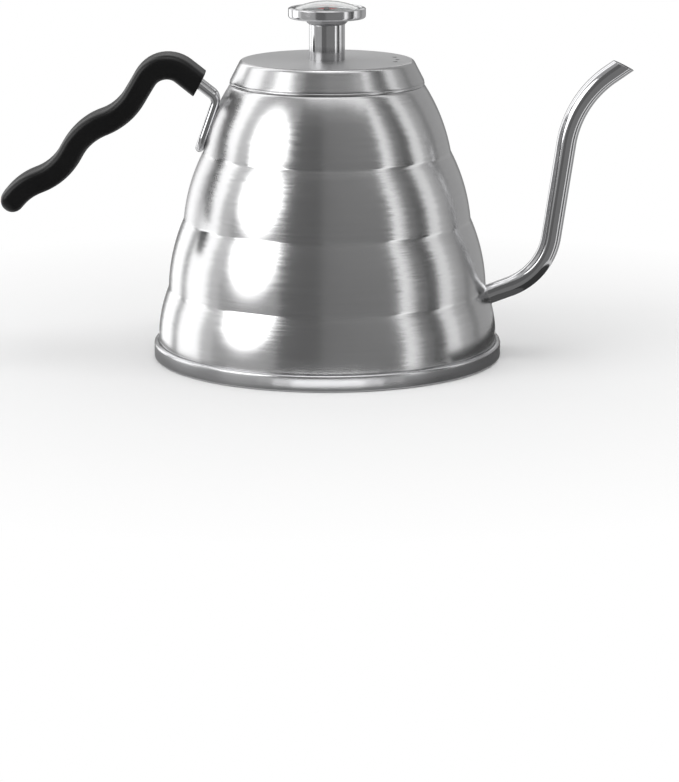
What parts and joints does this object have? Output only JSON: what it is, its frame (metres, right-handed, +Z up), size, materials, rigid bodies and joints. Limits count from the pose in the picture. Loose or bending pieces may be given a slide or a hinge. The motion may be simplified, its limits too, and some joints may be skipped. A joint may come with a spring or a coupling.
{
  "type": "gooseneck kettle",
  "caption": "Stove-top pour-over kettle: stepped steel body, slender swan-neck spout, wavy black side grip and a lift-off lid whose knob is a dial thermometer with a probe.",
  "frame": {"origin": "middle of the flat underside, on the surface the kettle stands on", "axes": "+Z up along the body's axis, +X from the handle to the spout"},
  "size_m": [0.2704, 0.15, 0.1531],
  "materials": {
    "brushed_shell": "horizontally brushed stainless steel",
    "satin_foot": "satin stainless steel",
    "spreader": "plain rolled aluminium",
    "bright_steel": "polished stainless steel",
    "grip_black": "matt black moulded plastic",
    "seal": "grey silicone rubber",
    "plain_steel": "plain machined stainless steel",
    "dial_print": "pale lacquered plate with printed marks",
    "clear": "clear polished dome",
    "bush": "turned brass",
    "bimetal": "wound bimetal strip",
    "needle_black": "black painted sheet"
  },
  "bodies": {
    "kettle": {"base_cap": "satin_foot", "heat_spreader": "spreader", "floor_pan": "satin_foot", "body_shell": "brushed_shell", "spout_tube": "bright_steel", "handle_wire": "bright_steel", "handle_grip": "grip_black"},
    "lid": {"lid_cap": "brushed_shell", "lid_plug": "satin_foot", "knob_post": "bright_steel", "seal_washer": "seal", "lock_nut": "plain_steel", "knob_cup": "bright_steel", "dial_face": "dial_print", "lens_gasket": "seal", "lens": "clear", "bezel_ring": "bright_steel", "probe_tube": "plain_steel", "probe_tip": "plain_steel", "spindle_bushes": "bush", "bimetal_coil": "bimetal"},
    "pointer": {"spindle": "plain_steel", "needle_hub": "needle_black", "needle": "needle_black"}
  },
  "joints": [
    {"name": "lid_lift", "type": "slide", "parent": "kettle", "child": "lid", "axis": [0, 0, 1], "range_m": [0, 0.11]},
    {"name": "needle_sweep", "type": "hinge", "parent": "lid", "child": "pointer", "pos_m": [0, 0, 0.14915], "axis": [0, 0, -1], "range_deg": [-45, 225], "deforming": ["bimetal_coil"]}
  ]
}
